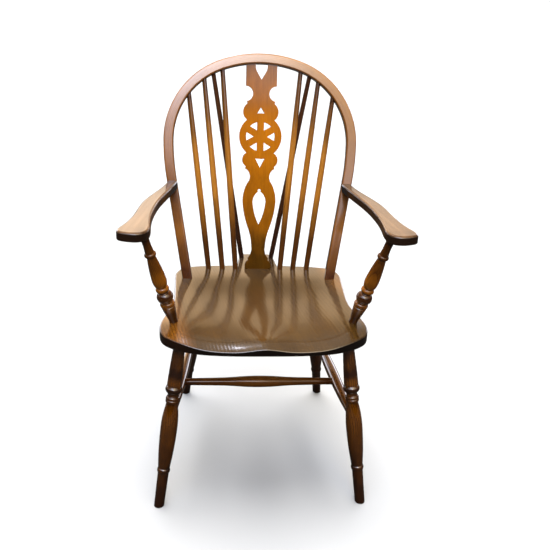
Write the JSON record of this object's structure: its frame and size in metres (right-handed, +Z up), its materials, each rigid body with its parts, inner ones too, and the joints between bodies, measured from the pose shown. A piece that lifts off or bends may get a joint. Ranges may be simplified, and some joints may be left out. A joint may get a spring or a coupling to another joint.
{
  "type": "windsor armchair",
  "caption": "Wooden bow back Windsor armchair with a pierced wheel splat, turned legs and stretchers, a saddled seat and shaped arms, for a seated person.",
  "frame": {"origin": "on the floor, under the middle of the chair's overall width and depth", "axes": "+Z up, -Y the way a sitter faces, +X the sitter's left"},
  "size_m": [0.6396, 0.5597, 0.9799],
  "materials": {
    "seat_wood": "stained and polished, satin gloss",
    "bow_wood": "stained and polished, satin gloss",
    "splat_wood": "stained and polished, satin gloss",
    "stick_wood": "stained and polished, satin gloss",
    "arm_wood": "stained and polished, satin gloss",
    "leg_wood": "stained and polished, satin gloss",
    "screw_steel": "plain steel"
  },
  "bodies": {
    "root": {"seat": "seat_wood", "seat_tail": "seat_wood", "bow": "bow_wood", "splat": "splat_wood", "cross_stretcher": "leg_wood", "stick_outer_left": "stick_wood", "stick_middle_left": "stick_wood", "stick_inner_left": "stick_wood", "brace_left": "stick_wood", "arm_left": "arm_wood", "arm_post_left": "leg_wood", "leg_front_left": "leg_wood", "leg_rear_left": "leg_wood", "side_stretcher_left": "leg_wood", "arm_screw_left": "screw_steel", "pellet_left": "bow_wood", "bow_wedge_left": "bow_wood", "stick_outer_right": "stick_wood", "stick_middle_right": "stick_wood", "stick_inner_right": "stick_wood", "brace_right": "stick_wood", "arm_right": "arm_wood", "arm_post_right": "leg_wood", "leg_front_right": "leg_wood", "leg_rear_right": "leg_wood", "side_stretcher_right": "leg_wood", "arm_screw_right": "screw_steel", "pellet_right": "bow_wood", "bow_wedge_right": "bow_wood"}
  },
  "joints": []
}
